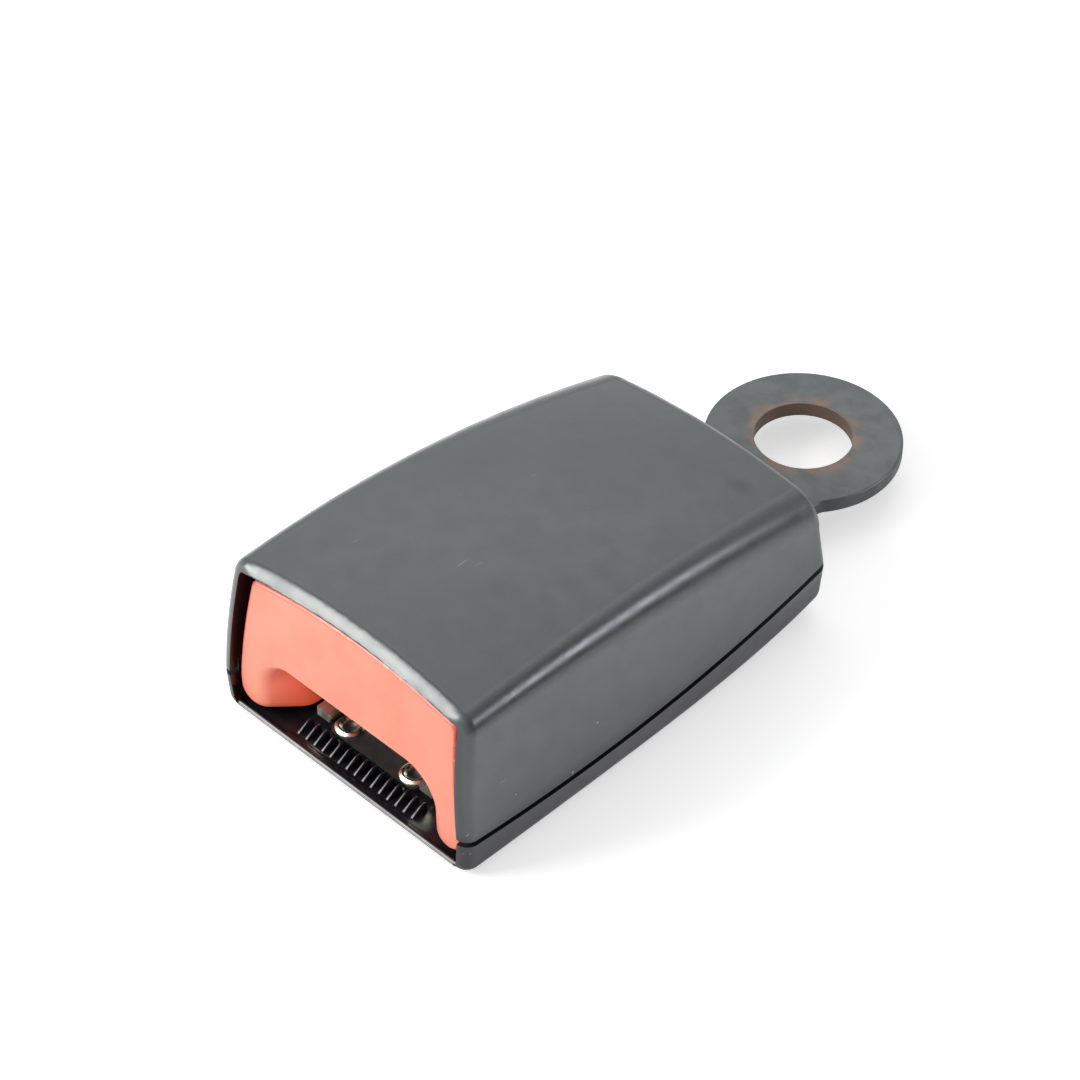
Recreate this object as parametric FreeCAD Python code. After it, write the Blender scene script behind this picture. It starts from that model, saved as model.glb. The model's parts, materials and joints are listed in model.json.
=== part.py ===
"""Seat belt buckle with an end release button and a flat anchor eye.

X runs across the buckle, Y from the mouth to the anchor eye, Z up. Everything is
modelled from the mouth: y = 0 is the plane of the rim and z = 0 the lowest line of
the front lip. The finished pieces are moved so that the row's origin is the centre
of the anchor eye, at half its thickness. All sizes are in millimetres.
"""
import FreeCAD, Part
import math
import os

# Outer skin of the two covers
length = 66.2
half_width_front = 22.0
half_width_back = 20.95
side_bow = 0.7
upper_draft = 1.2
lower_draft = 0.3
height_front = 25.0
height_back = 18.3
top_bow = 2.7
cross_crown = 2.3
parting_front = 5.0
parting_back = 7.2
parting_bow = -1.85
belly_level = -1.0
belly_back = 0.9
belly_flat_start = 18.0
belly_flat_end = 44.0
belly_overcut = 0.06
rim_foot = -0.1
rim_nose = -0.3
rim_top = 2.1
side_fillet_front = 2.5
side_fillet_back = 4.6
sill_fillet_front = 0.9
sill_fillet_back = 2.4
front_corner = 1.7
front_brow = 1.15
front_sill = 0.5
back_corner = 2.0
back_brow = 1.6
back_sill = 2.0
station_pitch = 15.0
plug_depth = 3.0
sew_tolerance = 0.001

# Walls and the seam between the covers
wall = 1.8
roof_wall = 1.3
floor_wall = 0.9
seam_gap = 0.8
seam_drop = 0.1
lip_height = 2.0
lip_wall = 0.7
lip_clearance = 0.1
lip_front = 1.2

# Room at each side between the outer skin and what lies inside it
frame_side_room = 8.3
arch_side_room = 6.4
screw_side_room = 5.0

# Release button
button_gap = 0.6
button_roof_gap = 1.2
button_recess = 1.1
button_depth = 8.2
button_wall = 1.6
button_low = 1.0
button_lean_in = 1.8
button_shoulder_drop = 1.5
button_shoulder_radius = 1.0
leg_radius = 2.2
leg_inner_radius = 1.2
arch_height = 11.1
arch_frame_gap = 0.5
arch_drop_back = 0.8
arch_corner = 3.5
arch_crown = 0.1
flare_radius = 3.0
flare_depth = 4.4

# Release slider, the black fork behind the button
yoke_thickness = 2.0
yoke_sill = 5.2
stop_thickness = 1.5
stop_width = 2.4
stop_low = 8.0
stop_high = 16.0
arm_width = 3.8
arm_gap = 0.6
arm_height = 2.9
arm_end = 34.0
peg_radius = 0.9
peg_length = 2.0
button_travel = 5.0

# Steel frame
frame_sheet = 1.5
frame_start = 9.3
frame_wall_start = 15.2
frame_end = 56.0
frame_bend = 1.0
frame_wall_top = 17.7
frame_wall_front_top = 10.0
frame_wall_back_top = 9.0
frame_corner = 1.0
lug_inner_room = 4.1
lug_outer_room = 1.9
lug_reach = 4.1
spring_tab_half = 3.0
spring_tab_height = 4.3

# Clip and hollow rivets behind the comb
clip_sheet = 0.4
clip_level = 0.6
clip_margin = 2.0
clip_start = 4.6
clip_end = 14.0
eyelet_side_room = 0.35
eyelet_y = 6.6
eyelet_flange = 1.95
eyelet_tube = 1.35
eyelet_bore = 1.0
eyelet_flange_height = 0.4

# Comb of ribs in the mouth
rib_count = 15
rib_side_room = 0.58
rib_width = 0.6
rib_start = 1.2
rib_end = 4.4
rib_low = 0.7
rib_top = 2.1
rib_flat = 0.4
sill_start = 0.25
sill_end = 1.9
sill_top = 1.0
sill_side_room = 0.4

# Anchor plate
plate_sheet = 2.1
plate_start = 44.3
plate_side_gap = 0.05
plate_neck_taper = 0.75
plate_neck_radius = 2.5
eye_y = 85.0
eye_outer = 27.0
eye_hole = 13.5
eye_edge = 0.35
eye_land_margin = 0.4
rivet_y = 50.3
rivet_side_share = 0.628
rivet_head_share = 0.358
rivet_radius = 2.5
rivet_head_height = 1.7
rivet_gap = 0.02

# Latch, its pin and spring
latch_sheet = 2.0
latch_side_gap = 0.3
latch_level = 8.3
latch_front = 19.6
nose_front = 20.3
nose_back = 24.0
nose_half_width = 6.6
nose_depth = 0.7
nose_bevel = 2.2
pin_y = 45.0
pin_z = 11.0
pin_radius = 2.0
running_clearance = 0.05
pin_seat_gap = 0.02
barrel_wall = 1.35
barrel_side_room = 3.2
ear_front = 23.5
ear_back = 27.5
ear_reach = 3.3
latch_lift_angle = 9.1
latch_hole_radius = 1.8
latch_hole_x = 6.5
latch_hole_y = 37.0
ramp_gap = 0.2
clip_ring_thickness = 0.6
clip_ring_radius = 2.9
spacer_wall = 1.0
latch_spring_y = 34.0
bridge_front = 30.5
bridge_back = 37.5
bridge_sheet = 1.2
bridge_level = 15.0

# Ejector
ejector_front = 24.6
ejector_back = 31.8
ejector_side_room = 4.2
ejector_key_half_width = 2.6
ejector_travel = 6.0
slide_gap = 0.2

# Springs
latch_coil_radius = 1.9
latch_coil_wire = 0.45
latch_coil_turns = 3.0
ejector_coil_radius = 1.6
ejector_coil_wire = 0.4
ejector_coil_turns = 7.0
button_coil_radius = 1.7
button_coil_wire = 0.5
button_coil_turns = 8.5
button_spring_z = 6.6
spring_seat_y = 50.0

# Spring posts, guide pins, screws and pads
post_thickness = 2.4
guide_pin_radius = 1.0
guide_pin_front = 42.6
screw_y = 57.2
boss_radius = 2.7
screw_radius = 1.3
screw_head_radius = 2.1
screw_head_height = 1.3
screw_seat = 1.5
screw_length = 9.0
pad_thickness = 0.8
pad_front = 25.0
pad_back = 29.5
rib_wall = 1.4
roof_rib_wall = 1.0
roof_rib_depth = 1.2
roof_rib_x = 9.0
roof_rib_front = 20.0
roof_rib_back = 60.0

X = FreeCAD.Vector(1, 0, 0)
Y = FreeCAD.Vector(0, 1, 0)
Z = FreeCAD.Vector(0, 0, 1)
far = 60.0
turns = [math.sin(math.radians(angle)) for angle in (0, 25, 50, 70, 90)]

# Levels that stack on each other
frame_floor_bottom = clip_level + clip_sheet
frame_floor_top = frame_floor_bottom + frame_sheet
plate_bottom = frame_floor_top
plate_top = plate_bottom + plate_sheet
frame_half_width = half_width_front - frame_side_room
frame_inner = frame_half_width - frame_sheet
lug_inner = frame_inner - lug_inner_room
lug_outer = frame_inner - lug_outer_room
barrel_half_width = frame_inner - barrel_side_room
ejector_half_width = frame_inner - ejector_side_room
arch_half_front = half_width_front - arch_side_room
arch_half_back = arch_half_front - flare_depth
frame_nose_half = arch_half_back - arch_frame_gap
sill_half_width = arch_half_back - sill_side_room
rib_pitch = 2 * (sill_half_width - rib_side_room) / (rib_count - 1)
eyelet_x = lug_inner - eyelet_side_room - eyelet_flange
clip_half_width = eyelet_x + clip_margin
screw_x = half_width_front - screw_side_room
plate_half_width = frame_inner - frame_bend - plate_side_gap
rivet_x = plate_half_width * rivet_side_share
rivet_head_radius = plate_half_width * rivet_head_share
arm_inner = frame_half_width + arm_gap
arm_middle = arm_inner + arm_width / 2
ejector_spring_z = frame_floor_top + 2.3
spring_tab_front = ejector_back + ejector_travel + ejector_coil_turns * ejector_coil_wire + 0.4
ear_window_top = latch_level + latch_sheet + 4.3
button_back = button_recess + button_depth
eye_centre = FreeCAD.Vector(0, eye_y, plate_bottom + plate_sheet / 2)
stop_inner = half_width_front - wall - stop_width
button_half = half_width_front - wall - button_gap
button_top = height_front - roof_wall - button_roof_gap


def bowed(start, end, bow, t):
    """Straight run from start to end with a parabola of height bow added."""
    return start + (end - start) * t + 4 * bow * t * (1 - t)


def belly(y):
    """Lowest line of the body: level in the middle, rising towards both ends."""
    before = max(belly_flat_start - y, 0.0) / belly_flat_start
    beyond = max(y - belly_flat_end, 0.0) / (length - belly_flat_end)
    lowest = belly_level - belly_overcut
    return lowest - lowest * before ** 4 + (belly_back - lowest) * beyond ** 1.5


def rim_lean(y, z):
    """How far a level of the rim lies behind its plane: a parabola that fades towards the back."""
    below = (rim_nose - rim_foot) / parting_front
    above = (rim_top - rim_nose) / (height_front - parting_front)
    bend = (above - below) / height_front
    fade = 1 - min(max(y / length, 0.0), 1.0)
    return fade * (rim_foot + below * z + bend * z * (z - parting_front))


def round_off(radius, distance):
    """Inset of a corner arc at a distance from the end of the body."""
    if distance >= radius:
        return 0.0
    return radius - math.sqrt(max(radius ** 2 - (radius - distance) ** 2, 0.0))


def box(x0, x1, y0, y1, z0, z1):
    """Block between two corners."""
    return Part.makeBox(x1 - x0, y1 - y0, z1 - z0, FreeCAD.Vector(x0, y0, z0))


def both_sides(shape):
    """The shape and its mirror image across the middle plane."""
    return [shape, shape.mirror(FreeCAD.Vector(0, 0, 0), X)]


def side_profile(points, half_width):
    """Outline given as (y, z) points, extruded across the middle plane."""
    wire = Part.makePolygon([FreeCAD.Vector(-half_width, y, z) for y, z in points + points[:1]])
    return Part.Face(wire).extrude(X * (2 * half_width))


def rod(radius, start, end):
    """Round bar between two points."""
    along = end - start
    return Part.makeCylinder(radius, along.Length, start, along)


def coil(radius, wire_radius, turns, rest_length, base, direction):
    """Compression spring with its end turns inside the stated length."""
    pitch = (rest_length - 2 * wire_radius) / turns
    path = Part.makeHelix(pitch, rest_length - 2 * wire_radius, radius)
    section = Part.Wire(Part.makeCircle(wire_radius, FreeCAD.Vector(radius, 0, 0), Y))
    spring = Part.Wire(path).makePipeShell([section], True, True)
    spring.translate(Z * wire_radius)
    spring.Placement = FreeCAD.Placement(base, FreeCAD.Rotation(Z, direction)).multiply(spring.Placement)
    return spring


def skin_section(y, insets, ends=False):
    """Closed outline of the body at one station, with the rim's lean and its round edge if ends."""
    inset, floor_inset, roof_inset = insets
    t = min(max(y / length, 0.0), 1.0)
    from_front = max(y, 0.0) if ends else length
    from_back = max(length - inset - y, 0.0)
    side = bowed(half_width_front, half_width_back, side_bow, t) - inset
    side -= round_off(front_corner, from_front) + round_off(max(back_corner - inset, 0.8), from_back)
    top = bowed(height_front, height_back, top_bow, t) - roof_inset
    top -= round_off(front_brow, from_front) + round_off(max(back_brow - inset, 0.3), from_back)
    bottom = belly(t * length) + floor_inset
    bottom += round_off(front_sill, from_front) + round_off(max(back_sill - inset, 0.3), from_back)
    seam = bowed(parting_front, parting_back, parting_bow, t)
    upper = max(bowed(side_fillet_front, side_fillet_back, 0.0, t) - inset, 0.5)
    sill_run = min(t * 5, 1.0)
    lower = max(bowed(sill_fillet_front, sill_fillet_back, 0.0, sill_run) - inset, 0.5)
    top_side = side - upper_draft
    low_side = side - lower_draft
    shoulder = top - cross_crown * ((top_side - upper) / half_width_front) ** 2
    diagonal = math.sqrt(0.5)

    def at(x, z):
        return FreeCAD.Vector(x, y + (rim_lean(y, z) if ends else 0.0), z)

    def arc(a, b, c):
        return Part.Arc(a, b, c).toShape()

    def line(a, b):
        middle = at((a.x + b.x) / 2, (a.z + b.z) / 2)
        curve = Part.BezierCurve()
        curve.setPoles([a, middle * 2 - (a + b) * 0.5, b])
        return curve.toShape()

    left = []
    for sign in (1, -1):
        seam_point = at(sign * side, seam)
        low_point = at(sign * low_side, bottom + lower)
        sill_mid = at(sign * (low_side - lower * (1 - diagonal)), bottom + lower * (1 - diagonal))
        sill_point = at(sign * (low_side - lower), bottom)
        high_point = at(sign * top_side, shoulder - upper)
        brow_mid = at(sign * (top_side - upper * (1 - diagonal)), shoulder - upper * (1 - diagonal))
        brow_point = at(sign * (top_side - upper), shoulder)
        left.append((seam_point, low_point, sill_mid, sill_point, high_point, brow_mid, brow_point))
    right, left = left
    edges = [
        line(left[3], right[3]),
        arc(right[3], right[2], right[1]),
        line(right[1], right[0]),
        line(right[0], right[4]),
        arc(right[4], right[5], right[6]),
        arc(right[6], at(0, top), left[6]),
        arc(left[6], left[5], left[4]),
        line(left[4], left[0]),
        line(left[0], left[1]),
        arc(left[1], left[2], left[3]),
    ]
    return Part.Wire(edges)


def skin_runs(first, cap, inset):
    """Stations of the long run, and of the rounded back with stations spread round its arc."""
    last = length - inset - cap
    count = max(2, round((last - first) / station_pitch) + 1)
    long_run = [first + (last - first) * i / (count - 1) for i in range(count)]
    return [long_run, [last + cap * turn for turn in turns]]


def skin(insets, start):
    """Solid inside the outer surface, moved in at the sides, the floor and the roof."""
    lofts = []
    for run in skin_runs(start, max(back_corner - insets[0], 0.8), insets[0]):
        lofts.append(Part.makeLoft([skin_section(y, insets) for y in run], True, False))
    return lofts[0].fuse(lofts[1])


def outer_body():
    """Solid inside the outer surface, sewn from its long run and its rounded ends.

    The mouth is closed by a funnel to a level section behind the rim, where the room
    inside the covers takes it away again.
    """
    flush = (0.0, 0.0, 0.0)
    plug = skin_section(plug_depth, (plug_depth, plug_depth, plug_depth))
    rim_run = [front_corner * (1 - turn) for turn in reversed(turns)]
    faces = Part.makeLoft([plug, skin_section(0.0, flush, True)], False, True).Faces
    for run in [rim_run] + skin_runs(front_corner, back_corner, 0.0):
        faces += Part.makeLoft([skin_section(y, flush, True) for y in run], False, False).Faces
    faces.append(Part.Face(plug))
    faces.append(Part.Face(skin_section(length, flush, True)))
    shell = Part.makeShell(faces)
    shell.sewShape(sew_tolerance)
    return Part.makeSolid(shell)


def behind(depth):
    """Everything farther back than the rim's curve moved back by a depth."""
    def at(z):
        return FreeCAD.Vector(-far, depth + rim_lean(depth, z), z)

    low, high = at(-far / 4), at(far)
    curve = Part.BezierCurve()
    curve.setPoles([low, at((low.z + high.z) / 2) * 2 - (low + high) * 0.5, high])
    corners = [high, FreeCAD.Vector(-far, 2 * far, high.z), FreeCAD.Vector(-far, 2 * far, low.z), low]
    edges = [curve.toShape()] + [Part.makeLine(a, b) for a, b in zip(corners, corners[1:])]
    return Part.Face(Part.Wire(edges)).extrude(X * (2 * far))


def seam_prism(upper, shift=0.0):
    """Everything above or below the curved seam, moved up by a shift."""
    front = FreeCAD.Vector(-far, -3, parting_front + shift)
    middle_z = bowed(parting_front, parting_back, parting_bow, 0.5) + shift
    middle = FreeCAD.Vector(-far, length / 2, middle_z)
    back = FreeCAD.Vector(-far, length, parting_back + shift)
    beyond = FreeCAD.Vector(-far, length + 5, parting_back + shift)
    level = far if upper else -far
    curve = Part.Arc(front, middle, back).toShape()
    corners = [beyond, FreeCAD.Vector(-far, length + 5, level), FreeCAD.Vector(-far, -3, level), front]
    edges = [curve, Part.makeLine(back, beyond)]
    edges += [Part.makeLine(a, b) for a, b in zip(corners, corners[1:])]
    return Part.Face(Part.Wire(edges)).extrude(X * (2 * far))


outer_skin = outer_body().cut(box(-far, far, -far, 2 * far, -far, belly_level))
inner_skin = skin((wall, floor_wall, roof_wall), -2.0)
shell = outer_skin.cut(inner_skin)
stop_back = button_back + rim_lean(button_back, stop_low) - 0.05


def back_slot(clearance):
    """Way out of the covers for the anchor plate, up to the seam."""
    side = plate_half_width + clearance
    return box(-side, side, length - 6, length + 6, plate_bottom - clearance, plate_top + clearance)


def make_lower_cover():
    """Lower shell with its comb, seam lip, screw bosses and spring posts."""
    cover = shell.common(seam_prism(False, -seam_drop))
    lip_outer = skin((wall - lip_wall + lip_clearance, floor_wall, roof_wall), lip_front / 2)
    lip = lip_outer.cut(inner_skin).common(seam_prism(False, lip_height)).common(seam_prism(True, -2.0))
    lip = lip.common(box(-far, far, lip_front, length, -far, far))
    cover = cover.fuse(lip)
    extras = [box(-frame_nose_half, frame_nose_half, clip_start - 0.2, clip_end, -1.5, clip_level)]
    post_x = arm_middle + 2.0
    for side in (1, -1):
        post = box(min(side * arm_inner, side * post_x), max(side * arm_inner, side * post_x),
                   spring_seat_y, spring_seat_y + post_thickness, -2, button_spring_z + 2.6)
        extras.append(post)
        boss = Part.makeCylinder(boss_radius, 10, FreeCAD.Vector(side * screw_x, screw_y, -2))
        extras.append(boss.common(seam_prism(False, -seam_drop)))
    for rail_y in (22.0, 32.0, 42.0):
        extras.append(box(-frame_inner, frame_inner, rail_y, rail_y + rib_wall, -2, frame_floor_bottom))
    for index in range(rib_count):
        x = (index - (rib_count - 1) / 2) * rib_pitch
        profile = [(rib_start, -0.5), (rib_start, rib_low), (rib_end - rib_flat, rib_top),
                   (rib_end, rib_top), (rib_end, -0.5)]
        rib = side_profile(profile, rib_width / 2)
        rib.translate(X * x)
        extras.append(rib)
    sill = [(sill_start, -0.5), (sill_start, sill_top - 0.5), (sill_start + 0.5, sill_top),
            (sill_end, sill_top), (sill_end, -0.5)]
    extras.append(side_profile(sill, sill_half_width))
    room = inner_skin.common(box(-far, far, -1, length, -far, far))
    body = cover.multiFuse([extra.common(room) for extra in extras])
    holes = [back_slot(0.2).fuse(box(-plate_half_width - 0.2, plate_half_width + 0.2,
                                     length - 6, length + 6, plate_bottom, far))]
    for side in (1, -1):
        centre = FreeCAD.Vector(side * screw_x, screw_y, -3)
        holes.append(Part.makeCylinder(screw_radius, 20, centre))
        holes.append(Part.makeCylinder(screw_head_radius + 0.15, 3 + screw_seat, centre))
        pin = FreeCAD.Vector(side * arm_middle, spring_seat_y - 1, button_spring_z)
        holes.append(rod(guide_pin_radius, pin, pin + Y * 6))
        eyelet = FreeCAD.Vector(side * eyelet_x, eyelet_y, -3)
        holes.append(Part.makeCylinder(eyelet_tube, 8, eyelet))
        holes.append(Part.makeCylinder(eyelet_flange + 0.1, 3 - 0.05, eyelet))
    return body.cut(Part.makeCompound(holes))


def make_upper_cover():
    """Upper shell with the rebate for the seam lip, stops, pillars and rib walls."""
    cover = shell.common(seam_prism(True, seam_gap - seam_drop))
    rebate = skin((wall - lip_wall, floor_wall, roof_wall), lip_front / 2)
    rebate = rebate.common(seam_prism(False, lip_height + 0.2))
    rebate = rebate.common(box(-far, far, lip_front - 0.2, length, -far, far))
    cover = cover.cut(rebate)
    tab_side = plate_half_width
    tab = shell.common(box(-tab_side, tab_side, length - 4, length + 3,
                           plate_top + 0.2, parting_back + 2))
    cover = cover.fuse(tab)
    room = inner_skin
    below_ribs = skin((wall, floor_wall, roof_wall + roof_rib_depth), -2.0)
    extras = []
    for side in (1, -1):
        pillar = Part.makeCylinder(boss_radius, 20, FreeCAD.Vector(side * screw_x, screw_y, 0))
        extras.append(pillar.common(seam_prism(True, seam_drop)))
        inner, outer = sorted((side * stop_inner, side * half_width_front))
        extras.append(box(inner, outer, stop_back - stop_thickness, stop_back, stop_low, stop_high))
        inner, outer = sorted((side * frame_inner, side * frame_half_width))
        extras.append(box(inner, outer, pad_front, pad_back, frame_wall_top + pad_thickness, far / 2))
        rib_x = side * roof_rib_x
        rib = box(rib_x - roof_rib_wall / 2, rib_x + roof_rib_wall / 2,
                  roof_rib_front, roof_rib_back, frame_wall_top, far)
        extras.append(rib.cut(below_ribs))
    body = cover.multiFuse([extra.common(room) for extra in extras])
    holes = []
    for side in (1, -1):
        centre = FreeCAD.Vector(side * screw_x, screw_y, 0)
        holes.append(Part.makeCylinder(screw_radius, screw_seat + screw_length + 0.5, centre))
    return body.cut(Part.makeCompound(holes))


def arch_section(y, half, top):
    """Outline of the tongue's way through the button, open downwards past the rounded legs."""
    low = top - arch_corner
    corner = arch_corner * (1 - math.sqrt(0.5))
    foot = leg_inner_radius * (1 - math.sqrt(0.5))
    wide = half + leg_inner_radius
    ankle = button_low + leg_inner_radius

    def at(x, z):
        return FreeCAD.Vector(x, y, z)

    edges = [
        Part.makeLine(at(-wide, -4), at(-wide, button_low)),
        Part.Arc(at(-wide, button_low), at(-half - foot, button_low + foot), at(-half, ankle)).toShape(),
        Part.makeLine(at(-half, ankle), at(-half, low)),
        Part.Arc(at(-half, low), at(-half + corner, top - corner), at(-half + arch_corner, top)).toShape(),
        Part.Arc(at(-half + arch_corner, top), at(0, top + arch_crown), at(half - arch_corner, top)).toShape(),
        Part.Arc(at(half - arch_corner, top), at(half - corner, top - corner), at(half, low)).toShape(),
        Part.makeLine(at(half, low), at(half, ankle)),
        Part.Arc(at(half, ankle), at(half + foot, button_low + foot), at(wide, button_low)).toShape(),
        Part.makeLine(at(wide, button_low), at(wide, -4)),
        Part.makeLine(at(wide, -4), at(-wide, -4)),
    ]
    return Part.Wire(edges)


def arch(grow=0.0):
    """Funnel that flares at 45 degrees towards the button's face, with a soft edge there."""
    face = button_recess + rim_nose
    centre = arch_half_front + flare_radius * math.tan(math.radians(22.5))
    stations = [(-1.0, centre + 0.3)]
    for angle in (0, 15, 30, 45):
        turn = math.radians(angle)
        stations.append((flare_radius * (1 - math.cos(turn)), centre - flare_radius * math.sin(turn)))
    stations += [(flare_depth, arch_half_back), (button_depth + 3, arch_half_back)]
    sections = []
    for depth, half in stations:
        top = arch_height - arch_drop_back * min(max(depth / flare_depth, 0.0), 1.0)
        sections.append(arch_section(face + depth, half + grow, top + grow))
    return Part.makeLoft(sections, True, True)


def button_bar(inset=0.0):
    """Bar from front to back with the button's outline, its corners rounded."""
    low = button_low + inset
    side = button_half - inset
    high_side = side - button_lean_in
    top = button_top - inset
    shoulder = top - button_shoulder_drop

    def at(x, z):
        return FreeCAD.Vector(x, -5, z)

    edges = [
        Part.makeLine(at(-side, low), at(side, low)),
        Part.makeLine(at(side, low), at(side, parting_front)),
        Part.makeLine(at(side, parting_front), at(high_side, shoulder)),
        Part.Arc(at(high_side, shoulder), at(0, top), at(-high_side, shoulder)).toShape(),
        Part.makeLine(at(-high_side, shoulder), at(-side, parting_front)),
        Part.makeLine(at(-side, parting_front), at(-side, low)),
    ]
    bar = Part.Face(Part.Wire(edges)).extrude(Y * far)
    for level, radius in ((low, leg_radius), (shoulder, button_shoulder_radius)):
        corners = [e for e in bar.Edges if abs(e.CenterOfMass.z - level) < 1e-6 and abs(e.CenterOfMass.x) > 1]
        bar = bar.makeFillet(max(radius - inset, 0.4), corners)
    return bar


def make_release_button():
    """Red button: a cap with a funnel for the tongue between its two legs."""
    body = button_bar().common(behind(button_recess)).cut(behind(button_back))
    inside = button_bar(button_wall).common(behind(button_recess + button_wall))
    body = body.cut(inside.cut(arch(button_wall)))
    body = body.cut(arch())
    notches = []
    for side in (1, -1):
        inner, outer = sorted((side * (stop_inner - slide_gap), side * half_width_front))
        front = stop_back - stop_thickness - button_travel - slide_gap
        notches.append(box(inner, outer, front, button_back + 3, stop_low - slide_gap, stop_high + slide_gap))
    return body.cut(Part.makeCompound(notches))


def make_release_slider():
    """Black fork pushed by the button, with the two ramps that lift the latch."""
    yoke = button_bar(slide_gap).common(behind(button_back)).cut(behind(button_back + yoke_thickness))
    yoke = yoke.common(box(-far, far, 0, far, yoke_sill, far))
    way = box(-arm_inner, arm_inner, 0, 20, -5, arch_height + arch_crown + 0.4)
    yoke = yoke.cut(way)
    low = latch_level - ramp_gap - arm_height
    low_top = latch_level - ramp_gap
    rise = math.radians(latch_lift_angle) * (pin_y - ear_front) - ramp_gap
    ramp_front = ear_front - button_travel
    profile = [(button_back + 1.2, low), (arm_end, low), (arm_end, low_top), (ear_front, low_top),
               (ramp_front, low_top + rise), (button_back + 1.2, low_top + rise)]
    arm = side_profile(profile, arm_width / 2)
    arm.translate(X * arm_middle)
    tip = FreeCAD.Vector(arm_middle, arm_end - 0.5, button_spring_z)
    arm = arm.fuse(rod(peg_radius, tip, tip + Y * (peg_length + 0.5)))
    return yoke.multiFuse(both_sides(arm))


def make_frame():
    """Folded steel channel with its windows, spring tab and locating lugs."""
    bottom = frame_floor_bottom
    outer = box(-frame_half_width, frame_half_width, frame_start, frame_end, bottom, 30)
    inner = box(-frame_inner, frame_inner, frame_start - 1, frame_end + 1, frame_floor_top, 31)

    def rounded(block, level, radius):
        edges = [e for e in block.Edges if abs(e.CenterOfMass.z - level) < 1e-6 and e.Length > 20
                 and abs(e.CenterOfMass.x) > 1]
        return block.makeFillet(radius, edges)

    channel = rounded(outer, bottom, frame_bend + frame_sheet).cut(rounded(inner, frame_floor_top, frame_bend))
    outline = [(frame_start, bottom), (frame_end, bottom), (frame_end, frame_wall_back_top),
               (pin_y + 7, frame_wall_back_top), (pin_y + 3.5, pin_z + 4), (pin_y - 4, frame_wall_top),
               (frame_wall_start + 7.3, frame_wall_top), (frame_wall_start + 2.3, frame_wall_front_top),
               (frame_wall_start, frame_wall_front_top), (frame_wall_start, frame_floor_top),
               (frame_start, frame_floor_top)]
    frame = channel.common(side_profile(outline, far))
    corners = [e for e in frame.Edges if abs(e.BoundBox.XLength - frame_sheet) < 1e-3
               and abs(e.Length - frame_sheet) < 1e-3 and e.CenterOfMass.z > frame_floor_top + frame_corner]
    frame = frame.makeFillet(frame_corner, corners)
    adds = []
    for side in (1, -1):
        inner_x, outer_x = sorted((side * lug_inner, side * lug_outer))
        adds.append(box(inner_x, outer_x, frame_start - lug_reach, frame_start, bottom, frame_floor_top))
    tab_y = spring_tab_front
    adds.append(box(-spring_tab_half, spring_tab_half, tab_y, tab_y + frame_sheet,
                    bottom, frame_floor_top + spring_tab_height))
    frame = frame.multiFuse(adds)
    ear = (ear_front - 0.9, ear_back + 0.9)
    cuts = [
        box(-nose_half_width - 0.6, nose_half_width + 0.6, nose_front - 0.9, nose_back + 1, 0, 4),
        box(-ejector_key_half_width - slide_gap, ejector_key_half_width + slide_gap,
            nose_back, tab_y, 0, 4),
        box(-far, far, ear[0], ear[1], latch_level - 0.8, ear_window_top),
        box(-far, far, bridge_front, bridge_back, bridge_level, bridge_level + bridge_sheet),
        rod(pin_radius + pin_seat_gap, FreeCAD.Vector(-far, pin_y, pin_z), FreeCAD.Vector(far, pin_y, pin_z)),
    ]
    for side in (1, -1):
        inner_x, outer_x = sorted((side * frame_nose_half, side * far))
        cuts.append(box(inner_x, outer_x, frame_start - 1, frame_wall_start, 0, 4))
        centre = FreeCAD.Vector(side * rivet_x, rivet_y, 0)
        cuts.append(Part.makeCylinder(rivet_radius + rivet_gap, 9, centre))
    return frame.cut(Part.makeCompound(cuts))


def make_anchor_plate():
    """Flat steel strap that ends in the round eye, with a level land round the hole."""
    strap = box(-plate_half_width, plate_half_width, plate_start, length + 1, plate_bottom, plate_top)
    neck_end = plate_half_width - plate_neck_taper
    neck = [(-plate_half_width, length + 1), (plate_half_width, length + 1),
            (neck_end, eye_y - 8), (-neck_end, eye_y - 8)]
    corners = [FreeCAD.Vector(x, y, plate_bottom) for x, y in neck + neck[:1]]
    neck_solid = Part.Face(Part.makePolygon(corners)).extrude(Z * plate_sheet)
    base = FreeCAD.Vector(0, eye_y, plate_bottom)
    eye = Part.makeCylinder(eye_outer / 2, plate_sheet, base)
    plate = strap.multiFuse([neck_solid, eye]).removeSplitter()
    joins = [e for e in plate.Edges if abs(e.Length - plate_sheet) < 1e-6
             and length + 2 < e.CenterOfMass.y < eye_y and abs(e.CenterOfMass.x) > eye_hole / 2]
    plate = plate.makeFillet(plate_neck_radius, joins)
    rims = [e for e in plate.Edges if e.CenterOfMass.y > plate_start + 1
            and abs(e.CenterOfMass.z - eye_centre.z) > plate_sheet / 4]
    plate = plate.makeFillet(eye_edge, rims)
    land = Part.makeCylinder(eye_outer / 2 - eye_edge - eye_land_margin, plate_sheet, base)
    plate = plate.cut(land).fuse(plate.common(land))
    holes = [Part.makeCylinder(eye_hole / 2, plate_sheet, base)]
    for side in (1, -1):
        centre = FreeCAD.Vector(side * rivet_x, rivet_y, 0)
        holes.append(Part.makeCylinder(rivet_radius + rivet_gap, 9, centre))
    return plate.cut(Part.makeCompound(holes))


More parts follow.
